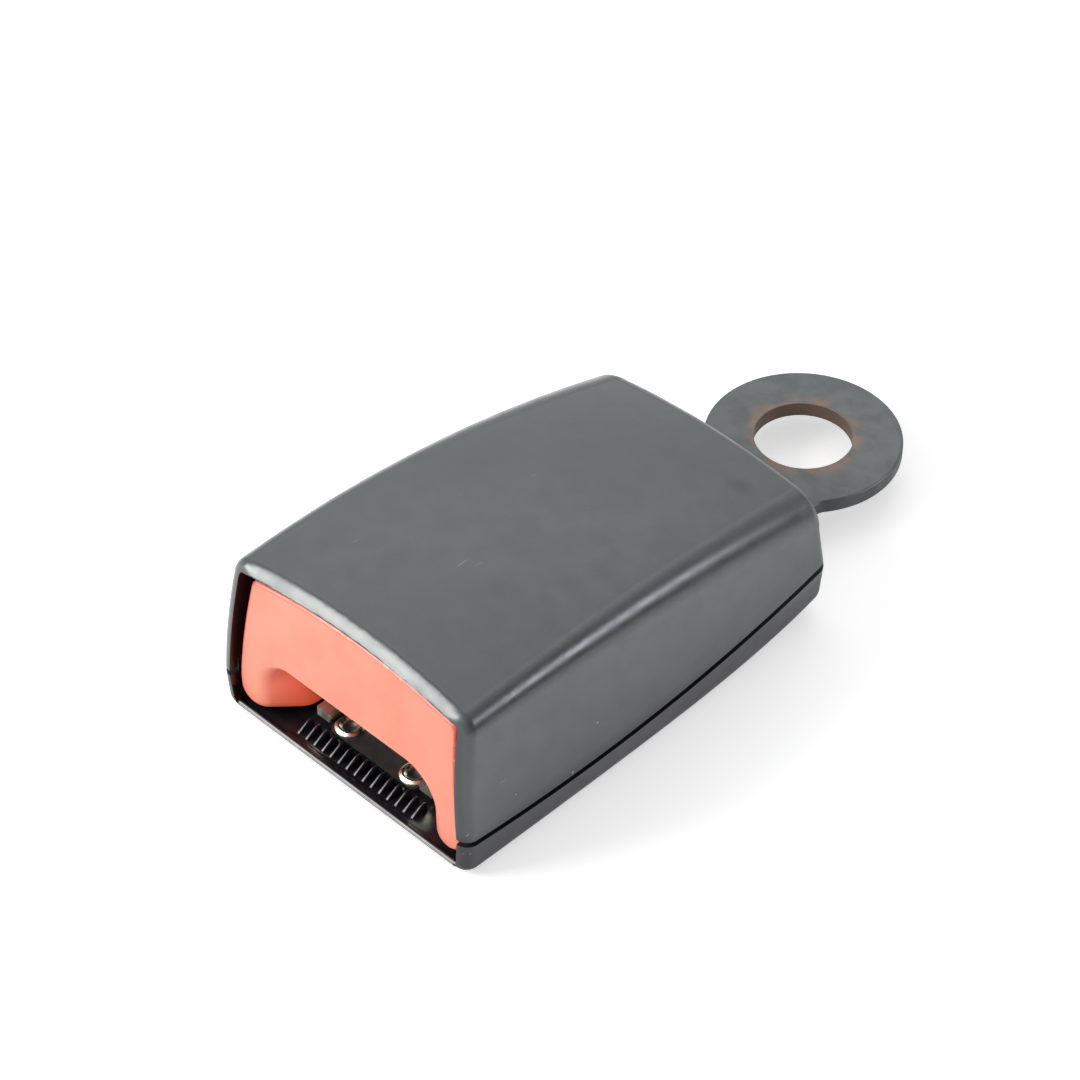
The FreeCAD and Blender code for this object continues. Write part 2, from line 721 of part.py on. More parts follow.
def make_anchor_rivets():
    """Two solid rivets that join the anchor plate to the frame."""
    pieces = []
    for side in (1, -1):
        base = FreeCAD.Vector(side * rivet_x, rivet_y, frame_floor_bottom)
        shank = Part.makeCylinder(rivet_radius, plate_top - frame_floor_bottom, base)
        dome_radius = (rivet_head_radius ** 2 + rivet_head_height ** 2) / (2 * rivet_head_height)
        centre = FreeCAD.Vector(base.x, base.y, plate_top + rivet_head_height - dome_radius)
        dome = Part.makeSphere(dome_radius, centre)
        head = dome.common(Part.makeCylinder(far, far, FreeCAD.Vector(base.x, base.y, plate_top)))
        pieces.append(shank.fuse(head))
    return Part.makeCompound(pieces)


def make_cover_clip():
    """Thin sheet clip on the floor of the lower cover, under the frame."""
    clip = box(-clip_half_width, clip_half_width, clip_start, clip_end, clip_level, clip_level + clip_sheet)
    corners = [e for e in clip.Edges if abs(e.Length - clip_sheet) < 1e-6]
    clip = clip.makeFillet(1.2, corners)
    for side in (1, -1):
        hole = Part.makeCylinder(eyelet_tube, 9, FreeCAD.Vector(side * eyelet_x, eyelet_y, -3))
        clip = clip.cut(hole)
    return clip


def make_clip_eyelets():
    """Two hollow rivets through the clip and the lower cover."""
    top = clip_level + clip_sheet
    height = eyelet_flange_height
    bore, tube, flange = eyelet_bore, eyelet_tube, eyelet_flange
    points = [(bore, -0.05 - height), (flange, -0.05 - height), (flange, -0.05), (tube, -0.05), (tube, top),
              (flange, top), (flange, top + height * 0.4), (flange - 0.35, top + height),
              (bore + 0.35, top + height), (bore, top + height * 0.4)]
    wire = Part.makePolygon([FreeCAD.Vector(r, 0, z) for r, z in points + points[:1]])
    eyelet = Part.Face(wire).revolve(FreeCAD.Vector(0, 0, 0), Z, 360)
    eyelet.translate(FreeCAD.Vector(eyelet_x, eyelet_y, 0))
    return Part.makeCompound(both_sides(eyelet))


def make_latch():
    """Steel pawl: nose at the front, ears at the sides, barrel round the pin."""
    half = frame_inner - latch_side_gap
    plate = box(-half, half, latch_front, pin_y - 4, latch_level, latch_level + latch_sheet)
    tail = box(-barrel_half_width, barrel_half_width, pin_y - 5, pin_y, latch_level, latch_level + latch_sheet)
    start = FreeCAD.Vector(-barrel_half_width, pin_y, pin_z)
    barrel = rod(pin_radius + barrel_wall, start, start + X * (2 * barrel_half_width))
    nose_low = frame_floor_top - nose_depth
    nose = side_profile([(nose_front, latch_level + 0.1), (nose_back, latch_level + 0.1), (nose_back, nose_low),
                         (nose_front + nose_bevel, nose_low), (nose_front, nose_low + 2.9)], nose_half_width)
    reach = frame_half_width + ear_reach
    ears = box(-reach, reach, ear_front, ear_back, latch_level, latch_level + latch_sheet)
    stud = Part.makeCylinder(1.2, 0.8, FreeCAD.Vector(0, latch_spring_y, latch_level + latch_sheet))
    latch = plate.multiFuse([tail, barrel, nose, ears, stud])
    middle = FreeCAD.Vector(0, pin_y, pin_z)
    bore = rod(pin_radius + running_clearance, middle - X * far, middle + X * far)
    base = FreeCAD.Vector(latch_hole_x, latch_hole_y, latch_level - 3)
    hole = Part.makeCylinder(latch_hole_radius, 9, base)
    return latch.cut(Part.makeCompound([bore] + both_sides(hole)))


def make_latch_pin():
    """Pivot pin with a groove near each end."""
    reach = frame_half_width + 1.5
    pin = rod(pin_radius, FreeCAD.Vector(-reach, pin_y, pin_z), FreeCAD.Vector(reach, pin_y, pin_z))
    start = FreeCAD.Vector(frame_half_width, pin_y, pin_z)
    groove = rod(far, start, start + X * clip_ring_thickness)
    groove = groove.cut(rod(pin_radius - 0.3, start - X, start + X * 3))
    return pin.cut(Part.makeCompound(both_sides(groove)))


def make_latch_pin_clips():
    """Two open retaining rings that snap into the pin's grooves."""
    start = FreeCAD.Vector(frame_half_width, pin_y, pin_z)
    ring = rod(clip_ring_radius, start, start + X * clip_ring_thickness)
    ring = ring.cut(rod(pin_radius - 0.3, start - X, start + X * 3))
    mouth = box(start.x - 1, start.x + 3, pin_y - 1.2, pin_y + 1.2, pin_z, pin_z + 5)
    return Part.makeCompound(both_sides(ring.cut(mouth)))


def make_latch_spacers():
    """Two plastic bushes that centre the latch on its pin."""
    start = FreeCAD.Vector(barrel_half_width + 0.1, pin_y, pin_z)
    width = frame_inner - 0.1 - start.x
    bush = rod(pin_radius + running_clearance + spacer_wall, start, start + X * width)
    bush = bush.cut(rod(pin_radius + running_clearance, start - X, start + X * far))
    return Part.makeCompound(both_sides(bush))


def make_spring_bridge():
    """Steel strap across the frame that holds the latch spring down."""
    bridge = box(-frame_half_width, frame_half_width, bridge_front, bridge_back,
                 bridge_level, bridge_level + bridge_sheet)
    stud = Part.makeCylinder(1.2, 0.8, FreeCAD.Vector(0, latch_spring_y, bridge_level - 0.8))
    return bridge.fuse(stud)


def make_ejector():
    """Plastic block that pushes the tongue out, keyed in the frame's slot."""
    low = frame_floor_top + slide_gap
    block = box(-ejector_half_width, ejector_half_width, ejector_front, ejector_back, low, latch_level - 0.4)
    key = box(-ejector_key_half_width, ejector_key_half_width, nose_back + 1.2, ejector_back,
              frame_floor_bottom + slide_gap, low)
    pocket_half = ejector_half_width - 1.6
    pockets = []
    for side in (1, -1):
        inner, outer = sorted((side * (ejector_key_half_width + 0.4), side * pocket_half))
        pockets.append(box(inner, outer, ejector_front + 1.8, ejector_back + 1, low - 1, latch_level - 1.8))
    return block.fuse(key).cut(Part.makeCompound(pockets))


def make_latch_spring():
    """Small coil between the latch and its bridge."""
    rest = bridge_level - latch_level - latch_sheet
    base = FreeCAD.Vector(0, latch_spring_y, latch_level + latch_sheet)
    return coil(latch_coil_radius, latch_coil_wire / 2, latch_coil_turns, rest, base, Z)


def make_ejector_spring():
    """Coil between the ejector and the frame's tab."""
    base = FreeCAD.Vector(0, ejector_back, ejector_spring_z)
    rest = spring_tab_front - ejector_back
    return coil(ejector_coil_radius, ejector_coil_wire / 2, ejector_coil_turns, rest, base, Y)


def make_button_springs():
    """Two coils that return the button."""
    springs = []
    for side in (1, -1):
        base = FreeCAD.Vector(side * arm_middle, arm_end, button_spring_z)
        rest = spring_seat_y - arm_end
        springs.append(coil(button_coil_radius, button_coil_wire / 2, button_coil_turns, rest, base, Y))
    return Part.makeCompound(springs)


def make_spring_guides():
    """Two steel pins pressed in the lower cover's posts."""
    start = FreeCAD.Vector(arm_middle, guide_pin_front, button_spring_z)
    pin = rod(guide_pin_radius, start, start + Y * (spring_seat_y + post_thickness - guide_pin_front))
    return Part.makeCompound(both_sides(pin))


def make_cover_screws():
    """Two pan head screws driven from below."""
    screws = []
    for side in (1, -1):
        seat = FreeCAD.Vector(side * screw_x, screw_y, screw_seat)
        head = Part.makeCylinder(screw_head_radius, screw_head_height, seat - Z * screw_head_height)
        shank = Part.makeCylinder(screw_radius, screw_length, seat)
        slot_base = seat - Z * (screw_head_height + 0.1)
        for turn in (0, 90):
            slot = box(-1.3, 1.3, -0.25, 0.25, 0, 0.8)
            slot.rotate(FreeCAD.Vector(0, 0, 0), Z, turn)
            slot.translate(slot_base)
            head = head.cut(slot)
        screws.append(head.fuse(shank))
    return Part.makeCompound(screws)


def make_rattle_pads():
    """Two strips of felt between the frame's walls and the upper cover."""
    pad = box(frame_inner, frame_half_width, pad_front, pad_back, frame_wall_top, frame_wall_top + pad_thickness)
    return Part.makeCompound(both_sides(pad))


makers = {
    "upper_cover": make_upper_cover,
    "lower_cover": make_lower_cover,
    "release_button": make_release_button,
    "release_slider": make_release_slider,
    "frame": make_frame,
    "anchor_plate": make_anchor_plate,
    "anchor_rivets": make_anchor_rivets,
    "cover_clip": make_cover_clip,
    "clip_eyelets": make_clip_eyelets,
    "latch": make_latch,
    "latch_pin": make_latch_pin,
    "latch_pin_clips": make_latch_pin_clips,
    "latch_spacers": make_latch_spacers,
    "spring_bridge": make_spring_bridge,
    "ejector": make_ejector,
    "latch_spring": make_latch_spring,
    "ejector_spring": make_ejector_spring,
    "button_springs": make_button_springs,
    "spring_guides": make_spring_guides,
    "cover_screws": make_cover_screws,
    "rattle_pads": make_rattle_pads,
}

os.makedirs("parts", exist_ok=True)
for name, make in makers.items():
    shape = make()
    shape.translate(eye_centre * -1)
    shape.exportStep("parts/" + name + ".step")
    print(name, len(shape.Solids), "solids", round(shape.Volume, 1), "mm3", shape.isValid())
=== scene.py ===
import json
import math

import bmesh
import bpy
import numpy as np
from mathutils import Matrix, Vector


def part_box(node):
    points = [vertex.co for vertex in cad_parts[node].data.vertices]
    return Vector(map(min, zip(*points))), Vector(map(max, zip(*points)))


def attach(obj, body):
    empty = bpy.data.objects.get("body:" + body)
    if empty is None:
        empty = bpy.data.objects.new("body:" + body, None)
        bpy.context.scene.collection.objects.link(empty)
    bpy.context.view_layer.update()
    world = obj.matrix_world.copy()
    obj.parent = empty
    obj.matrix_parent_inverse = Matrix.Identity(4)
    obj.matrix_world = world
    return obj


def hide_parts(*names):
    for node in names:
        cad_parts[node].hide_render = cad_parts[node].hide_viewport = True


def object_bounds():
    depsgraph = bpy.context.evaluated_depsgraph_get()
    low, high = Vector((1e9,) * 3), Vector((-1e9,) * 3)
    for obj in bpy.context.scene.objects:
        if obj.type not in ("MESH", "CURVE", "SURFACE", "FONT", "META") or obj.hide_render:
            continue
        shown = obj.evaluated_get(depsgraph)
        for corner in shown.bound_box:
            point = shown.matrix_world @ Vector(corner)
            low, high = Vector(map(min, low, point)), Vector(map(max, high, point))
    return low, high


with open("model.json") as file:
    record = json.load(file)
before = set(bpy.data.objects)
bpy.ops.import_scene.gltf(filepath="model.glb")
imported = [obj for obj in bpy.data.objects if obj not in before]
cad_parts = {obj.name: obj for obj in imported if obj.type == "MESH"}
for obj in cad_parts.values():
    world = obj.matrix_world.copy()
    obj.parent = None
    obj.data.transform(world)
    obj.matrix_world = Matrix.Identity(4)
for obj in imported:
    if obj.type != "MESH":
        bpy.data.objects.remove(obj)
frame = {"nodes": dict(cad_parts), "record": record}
cad_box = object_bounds()
MM = 0.001

# The mouth frame: millimetres from the middle of the mouth's lower lip, as the part is drawn
EYE_Y = 85.0
EYE_Z = 3.55


def row(points):
    """Points of the mouth frame in millimetres, moved to the row frame in metres."""
    return (np.asarray(points, float) - (0.0, EYE_Y, EYE_Z)) * MM


# Lines of the body, the same as the solids': everything here is in millimetres of the mouth frame

LENGTH = 66.2
BELLY = -1.06
BELLY_FLAT_START = 18.0
RIM_FOOT, RIM_NOSE, RIM_TOP = -0.1, -0.3, 2.1
SEAM_FRONT = 5.0
HEIGHT_FRONT, HEIGHT_BACK, TOP_BOW = 25.0, 18.3, 2.7
CROWN_FALL = 0.00475
BROW = 1.15


def belly(y):
    """Underside near the mouth: falls from the lip with the fourth power of the way to the flat part."""
    before = np.clip(BELLY_FLAT_START - y, 0, None) / BELLY_FLAT_START
    return BELLY * (1 - before ** 4)


def rim_lean(y, z):
    """Parabola through the rim's foot, nose and top that fades evenly towards the back."""
    below = (RIM_NOSE - RIM_FOOT) / SEAM_FRONT
    above = (RIM_TOP - RIM_NOSE) / (HEIGHT_FRONT - SEAM_FRONT)
    bend = (above - below) / HEIGHT_FRONT
    fade = 1 - np.clip(y / LENGTH, 0, 1)
    return fade * (RIM_FOOT + below * z + bend * z * (z - SEAM_FRONT))


def round_off(radius, away):
    """Inset of a quarter round at a distance from its end."""
    reach = np.clip(1 - away / radius, 0, 1)
    return radius * (1 - np.sqrt(1 - reach ** 2))


def quarter(count, start, end):
    """Cosine and sine of evenly spaced angles, given in degrees."""
    angle = np.radians(np.linspace(start, end, count))
    return np.cos(angle), np.sin(angle)


# Meshes and objects

MERGE_WITHIN, SLIVER_WITHIN = 1e-6, 1e-7  # metres


def add_object(name, data):
    """A new object in the scene, at the origin."""
    made = bpy.data.objects.new(name, data)
    bpy.context.scene.collection.objects.link(made)
    return made


def shade_smooth(mesh):
    """Smooth shading on every face."""
    mesh.polygons.foreach_set("use_smooth", np.ones(len(mesh.polygons), bool))


def piece_from(name, points, faces, slot, body, sharp_degrees=35, values=None):
    """A named mesh piece from mouth-frame points and faces, merged, turned outwards and smooth.

    values holds named numbers for each point that the finishes read.
    """
    mesh = bpy.data.meshes.new(name)
    mesh.from_pydata(row(points.reshape(-1, 3)), [], faces.tolist())
    for kind, numbers in (values or {}).items():
        layer = mesh.attributes.new(kind, "FLOAT", "POINT")
        numbers = np.broadcast_to(numbers, points.shape[:2])
        layer.data.foreach_set("value", numbers.ravel().astype(float))
    shape = bmesh.new()
    shape.from_mesh(mesh)
    bmesh.ops.remove_doubles(shape, verts=shape.verts, dist=MERGE_WITHIN)
    bmesh.ops.dissolve_degenerate(shape, edges=shape.edges, dist=SLIVER_WITHIN)
    bmesh.ops.recalc_face_normals(shape, faces=shape.faces)
    shape.to_mesh(mesh)
    shape.free()
    shade_smooth(mesh)
    mesh.set_sharp_from_angle(angle=math.radians(sharp_degrees))
    piece = add_object(name, mesh)
    mesh.materials.append(finishes[slot])
    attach(piece, body)
    return piece


def grid_faces(rows, columns, close_rows=False):
    """Four-cornered faces of a grid of points, joined from its last row to its first if asked."""
    starts = np.arange(rows if close_rows else rows - 1)
    i, j = np.meshgrid(starts, np.arange(columns - 1), indexing="ij")
    after = (i + 1) % rows
    corners = [i * columns + j, after * columns + j, after * columns + j + 1, i * columns + j + 1]
    return np.stack([c.ravel() for c in corners], 1)


# Release button

BUTTON_SIDE, BUTTON_LOW, BUTTON_TOP = 19.6, 1.0, 22.5
BUTTON_LEAN_IN, SHOULDER_DROP, SHOULDER_RADIUS = 1.8, 1.5, 1.0
SHOULDER_TURN = (4, 78)  # degrees
BUTTON_RECESS, BUTTON_DEPTH = 1.1, 8.2
LEG_RADIUS, LEG_INNER_RADIUS, LEG_INNER_LEAST = 2.2, 1.2, 0.3
ARCH_FRONT, ARCH_BACK, ARCH_EASE = 15.6, 11.2, 0.5
ARCH_TOP, ARCH_DROP = 11.1, 0.8
ARCH_CORNER, ARCH_WIDER, ARCH_WIDER_POWER = 3.5, 3.0, 1.5
FLARE_RADIUS, FLARE_DEPTH, FACE_EDGE = 3.0, 4.4, 0.4
FOOT_X = BUTTON_SIDE - LEG_RADIUS

# Both outlines have the same points along them, so that faces can join them
FOOT_POINTS, CORNER_POINTS = 9, 10
SIDE_STEPS = np.linspace(0, 1, 13)[1:]
CROWN_STEPS = np.cos(np.linspace(0, math.pi / 2, 15)[1:])

# Depths of the rows behind the flare, rows across the face, and how the finish's values fade: the painted
# shade into the scoop and the painted shade along the face's edge
ROWS_BEHIND_FLARE = (*np.linspace(1.1, 6.0, 15), 7.1, BUTTON_DEPTH)
FACE_ROWS = 6
HOLLOW_SHADE_FADE = 1.6
EDGE_SHADE_AT, EDGE_SHADE_WIDTH = 0.12, 0.16


def mirrored_path(x, z):
    """Right half of a path, then its mirror image back down, as an array of (x, z)."""
    x, z = np.concatenate(x, 1), np.concatenate(z, 1)
    whole_x = np.concatenate([x, -x[:, -2::-1]], 1)
    whole_z = np.concatenate([z, z[:, -2::-1]], 1)
    return np.stack([whole_x, whole_z], 2)


def button_outline(inset):
    """Outside from the right foot over the top, one row for each inset.

    A quarter round at the foot, a side that leans in above the seam, a small round shoulder and a
    circular crown, mirrored to the left foot.
    """
    inset = np.asarray(inset, float)[:, None]
    side, low = BUTTON_SIDE - inset, BUTTON_LOW + inset
    top = BUTTON_TOP - inset
    shoulder = top - SHOULDER_DROP
    cos, sin = quarter(FOOT_POINTS, -90, 0)
    radius = LEG_RADIUS - inset
    x = [FOOT_X + radius * cos]
    z = [low + radius + radius * sin]
    z.append(low + radius + (shoulder - SHOULDER_RADIUS - low - radius) * SIDE_STEPS)
    above_seam = np.clip((z[-1] - SEAM_FRONT) / (shoulder - SEAM_FRONT), 0, 1)
    x.append(side - BUTTON_LEAN_IN * above_seam)
    cos, sin = quarter(CORNER_POINTS, *SHOULDER_TURN)
    centre = x[-1][:, -1:] - SHOULDER_RADIUS
    x.append(centre + SHOULDER_RADIUS * cos)
    z.append(shoulder - SHOULDER_RADIUS + SHOULDER_RADIUS * sin)
    start_x, start_z = x[-1][:, -1:], z[-1][:, -1:]
    x.append(start_x * CROWN_STEPS)
    z.append(top - (top - start_z) * CROWN_STEPS ** 2)
    return mirrored_path(x, z)


def arch_outline(depth):
    """The tongue's way from the right foot over its roof, one row for each depth behind the face.

    The half width leaves the face on a round, runs in at 45 degrees and eases into the straight part.
    """
    depth = np.asarray(depth, float)[:, None]
    centre = ARCH_FRONT + FLARE_RADIUS * math.tan(math.radians(22.5))
    on_round = FLARE_RADIUS * (1 - math.sqrt(0.5))
    turn = np.sqrt(np.clip(FLARE_RADIUS ** 2 - (FLARE_RADIUS - depth) ** 2, 0, None))
    run = ARCH_FRONT - depth - ARCH_BACK
    eased = ARCH_BACK + (run + np.sqrt(run ** 2 + ARCH_EASE)) / 2
    half = np.where(depth < on_round, centre - turn, eased)
    in_flare = np.clip(1 - depth / FLARE_DEPTH, 0, 1)
    corner = ARCH_CORNER + ARCH_WIDER * in_flare ** ARCH_WIDER_POWER
    top = ARCH_TOP - ARCH_DROP * np.clip(depth / FLARE_DEPTH, 0, 1)
    low = BUTTON_LOW + round_off(FACE_EDGE, depth)
    ankle = np.clip(FOOT_X - half, LEG_INNER_LEAST, LEG_INNER_RADIUS)
    cos, sin = quarter(FOOT_POINTS - 1, -90, -180)
    x = [FOOT_X + 0 * half, half + ankle + ankle * cos]
    z = [low, low + ankle + ankle * sin]
    z.append(low + ankle + (top - corner - low - ankle) * SIDE_STEPS)
    x.append(half + 0 * z[-1])
    cos, sin = quarter(CORNER_POINTS, 0, 90)
    x.append(half - corner + corner * cos)
    z.append(top - corner + corner * sin)
    x.append((half - corner) * CROWN_STEPS)
    z.append(top + 0 * x[-1])
    return mirrored_path(x, z)


def release_button():
    """Red button as one band round its two legs: outside, back, arch, then the leaning face."""
    turn = FLARE_RADIUS * (1 - np.cos(np.radians(np.linspace(0, 45, 9))))
    depth = np.concatenate([turn, ROWS_BEHIND_FLARE])
    outside = button_outline(round_off(FACE_EDGE, depth))
    inside = arch_outline(depth)
    share = np.linspace(0, 1, FACE_ROWS + 2)[1:-1, None, None]
    face = inside[:1] * (1 - share) + outside[:1] * share
    band = np.concatenate([outside, inside[::-1], face])
    behind = np.concatenate([depth, depth[::-1], np.zeros(FACE_ROWS)])[:, None]
    x, z = band[..., 0], band[..., 1]
    y = BUTTON_RECESS + behind + rim_lean(BUTTON_RECESS + behind, z)
    points = np.stack([x, y, z], 2)
    rows = len(depth)
    # Values for the red finish: painted shade that deepens into the scoop behind the face, and where the
    # painted shade along the face's edge lies
    hollow_shade = np.zeros(len(band))
    hollow_shade[rows:2 * rows] = (1 - np.exp(-depth / HOLLOW_SHADE_FADE))[::-1]
    edge = np.zeros(len(band))
    edge[1:rows] = np.exp(-((depth[1:] - EDGE_SHADE_AT) / EDGE_SHADE_WIDTH) ** 2)
    values = {"hollow_shade": hollow_shade[:, None], "edge": edge[:, None]}
    faces = grid_faces(*points.shape[:2], close_rows=True)
    piece = piece_from("button_cap", points, faces, "button_red", "button", 50, values)
    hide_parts("release_button")


# Comb in the mouth

EYELET_X, EYELET_Y, EYELET_BORE = 5.8, 6.6, 0.98
DISH_RISE, DISH_THICKNESS = 0.35, 0.3
RIB_COUNT, RIB_PITCH, RIB_HALF = 15, 1.46, 0.16
MOUTH_HALF = 19.66
COMB_FRONT, COMB_FLOOR, COMB_UNDERSIDE = 0.06, 0.42, 0.1
COMB_COLUMNS = (MOUTH_HALF, MOUTH_HALF, MOUTH_HALF - 0.05, 15.0, 11.2, 10.9)
COMB_ROWS = (0.0, 0.0, 0.06, 0.14, 0.24, 0.34, 0.44, 0.54, 0.66, 0.8, 1.0, 1.2, 1.35, 1.5,
             1.7, 1.72, 1.76, 1.84, 1.95, 2.5, 3.1, 3.6, 3.8, 4.1, 4.35, 4.45, 4.5, 4.5)

# Across one rib: the distance from its left side, and the share of its height there
RIB_SECTION = ((-0.03, 0), (0.0, 0.93), (0.05, 0.985), (0.16, 1.0), (0.27, 0.985), (0.32, 0.93),
               (0.35, 0))

# Along one rib: the distance behind the rim, and the height of its top
RIB_LINE = ((1.7, -0.4), (1.72, -0.15), (1.76, 0.0), (1.84, 0.1), (1.95, 0.17), (3.6, 1.12),
            (3.8, 1.18), (4.1, 1.18), (4.35, 1.0), (4.45, -0.4))

# The lip in front of the floor: heights, and where they are. It is wider in front of the ribs
LIP_HEIGHTS = (-0.3, -0.2, -0.08, 0.03, 0.11, 0.15, 0.16, 0.15, 0.04, 0.0)
LIP_ROUND = (0.0, 0.06, 0.14, 0.24, 0.34, 0.44, 0.54)
LIP_AT_RIBS = (*LIP_ROUND, 1.2, 1.35, 1.5)
LIP_BESIDE = (*LIP_ROUND, 0.66, 0.8, 1.0)
LIP_WIDE_HALF = 11

# Depth below a rib's top, in millimetres, at which the painted shade between the ribs is full
FULL_SHADE_BELOW_TOP = 0.25


def comb():
    """Floor and ribs as one height field: a floor along the body and, on each rib, a top that rises.

    A rib's top starts just behind the lip, rises at about 30 degrees and stays level at the back.
    """
    centres = (np.arange(RIB_COUNT) - (RIB_COUNT - 1) / 2) * RIB_PITCH
    offsets, share = np.array(RIB_SECTION).T
    across = (centres[:, None] + (offsets - RIB_HALF)).ravel()
    edge = np.array(COMB_COLUMNS)
    x = np.concatenate([-edge, across, edge[::-1]])
    rib = np.concatenate([0 * edge, np.tile(share, RIB_COUNT), 0 * edge])
    y = np.array(COMB_ROWS)
    wide = np.interp(y, LIP_AT_RIBS, LIP_HEIGHTS)
    narrow = np.interp(y, LIP_BESIDE, LIP_HEIGHTS)
    lip = np.where(np.abs(x)[None, :] < LIP_WIDE_HALF, wide[:, None], narrow[:, None])
    floor = belly(y)[:, None] + COMB_FLOOR + lip
    top = np.interp(y, *np.array(RIB_LINE).T)
    rise = np.clip(top[:, None] - floor, 0, None)
    z = floor + rise * rib[None, :]
    border = np.ones(z.shape, bool)
    border[1:-1, 1:-1] = False
    z = np.where(border, belly(y)[:, None] + COMB_UNDERSIDE, z)
    # Painted shade between the ribs: the further below the rib tops, the darker the finish paints it
    depth = np.clip(rise * (1 - rib[None, :]) / FULL_SHADE_BELOW_TOP, 0, 1)
    grid_x, grid_y = np.broadcast_arrays(x[None, :], y[:, None])
    points = np.stack([grid_x, grid_y + COMB_FRONT + rim_lean(0.0, z), z], 2)
    piece_from("mouth_comb", points, grid_faces(*points.shape[:2]), "cover_plastic", "housing", 50,
               {"hollow_shade": depth})


def eyelet_bore_shades():
    """A dark dish in each eyelet's bore as painted shade, standing in for the shade deep in the open
    tube: z = rise (r / R)^2, on a flat underside.
    """
    low, high = (point.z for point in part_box("clip_eyelets"))
    level = (low + high) / 2 / MM + EYE_Z
    rings = np.linspace(0, 1, 7)
    radius = np.concatenate([rings, [1, 0]])
    height = np.concatenate([DISH_RISE * rings ** 2, [-DISH_THICKNESS, -DISH_THICKNESS]])
    angle = np.linspace(0, 2 * math.pi, 33)
    for side, name in ((-1, "eyelet_bore_shade_left"), (1, "eyelet_bore_shade_right")):
        x = side * EYELET_X + EYELET_BORE * radius[:, None] * np.cos(angle)
        y = EYELET_Y + EYELET_BORE * radius[:, None] * np.sin(angle)
        z = np.broadcast_to(level + height[:, None], x.shape)
        points = np.stack([x, y, z], 2)
        piece_from(name, points, grid_faces(*points.shape[:2]), "clip_steel", "housing")


# Covers

FACING_UP, FACING_IN = 0.25, 0.3  # parts of a normal of length 1
WALLS_OUTSIDE = 15
BROW_POWER, BROW_END, BROW_FADE = 1.3, 18.5, 2.0
ON_TOP, RENEWED_REACH = 0.15, 1.05
MOUTH_BACK, MOUTH_MARGIN, FLOOR_LIMIT = 4.75, 0.04, 2.9
FLOOR_WALL, PRESSED = 0.34, 50


def cover_copy(node):
    """Joined copy of a cover's mesh: its points in the mouth frame and the normal of each face corner."""
    source = frame["nodes"][node].data
    normals = np.empty(len(source.loops) * 3, np.float32)
    source.corner_normals.foreach_get("vector", normals)
    shape = bmesh.new()
    shape.from_mesh(source)
    bmesh.ops.remove_doubles(shape, verts=shape.verts, dist=MERGE_WITHIN)
    mesh = bpy.data.meshes.new(node + "_shell")
    shape.to_mesh(mesh)
    shape.free()
    assert len(mesh.loops) == len(source.loops)
    shade_smooth(mesh)
    points = np.empty(len(mesh.vertices) * 3)
    mesh.vertices.foreach_get("co", points)
    return mesh, points.reshape(-1, 3) / MM + (0, EYE_Y, EYE_Z), normals.reshape(-1, 3)


def cover_piece(node, mesh, points, normals, renewed):
    """Put a cover's moved points back; corners at renewed points get the moved surface's own normal."""
    mesh.vertices.foreach_set("co", row(points).ravel())
    mesh.update()
    fresh = np.empty(len(mesh.vertices) * 3, np.float32)
    mesh.vertex_normals.foreach_get("vector", fresh)
    corner = np.empty(len(mesh.loops), np.int32)
    mesh.loops.foreach_get("vertex_index", corner)
    outward = normals[:, 2] > FACING_UP
    chosen = np.where((renewed[corner] & outward)[:, None], fresh.reshape(-1, 3)[corner], normals)
    mesh.normals_split_custom_set(chosen.tolist())
    # Inner walls of the mouth, where the finish lays a painted dark red reflection and less roughness
    across = points[corner, 0]
    inward = (normals[:, 0] * np.sign(across) < -FACING_IN) & (np.abs(across) > WALLS_OUTSIDE)
    layer = mesh.attributes.new("inner_wall", "FLOAT", "CORNER")
    layer.data.foreach_set("value", inward.astype(np.float32))
    shell = add_object(node + "_shell", mesh)
    mesh.materials.append(finishes["cover_plastic"])
    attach(shell, "housing")
    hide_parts(node)


def upper_cover():
    """The solid's own upper cover with a flatter brow over the mouth.

    Over the brow's depth r the inset of the top is r (1 - (1 - (1 - d / r)^p)^(1 / p)) at a distance d
    behind the rim, with p between the 1 of a chamfer and the solid's 2 of a quarter round.
    """
    mesh, points, normals = cover_copy("upper_cover")
    x, y, z = points.T
    behind = y - rim_lean(0.0, z)
    reach = np.clip(1 - behind / BROW, 0, 1)
    along = np.clip(y / LENGTH, 0, 1)
    crown = HEIGHT_FRONT + (HEIGHT_BACK - HEIGHT_FRONT) * along + 4 * TOP_BOW * along * (1 - along)
    crown = crown - CROWN_FALL * x ** 2
    circle = round_off(BROW, behind)
    flatter = BROW * (1 - (1 - reach ** BROW_POWER) ** (1 / BROW_POWER))
    on_top = np.abs(z - (crown - circle)) < ON_TOP
    fade = np.clip((BROW_END - np.abs(x)) / BROW_FADE, 0, 1)
    points[:, 2] -= np.where(on_top, (flatter - circle) * fade, 0)
    renewed = on_top & (behind < BROW * RENEWED_REACH) & (fade > 0)
    cover_piece("upper_cover", mesh, points, normals, renewed)


def lower_cover():
    """The solid's own lower cover with the mouth's floor pressed thin, for the comb to lie on."""
    mesh, points, normals = cover_copy("lower_cover")
    x, y, z = points.T
    floor = belly(np.clip(y, 0, None)) + FLOOR_WALL
    beside = np.abs(x) < MOUTH_HALF + MOUTH_MARGIN
    in_mouth = beside & (y < MOUTH_BACK) & (z > floor) & (z < FLOOR_LIMIT)
    points[:, 2] = np.where(in_mouth, floor + (z - floor) / PRESSED, z)
    cover_piece("lower_cover", mesh, points, normals, np.zeros(len(points), bool))


# Node trees

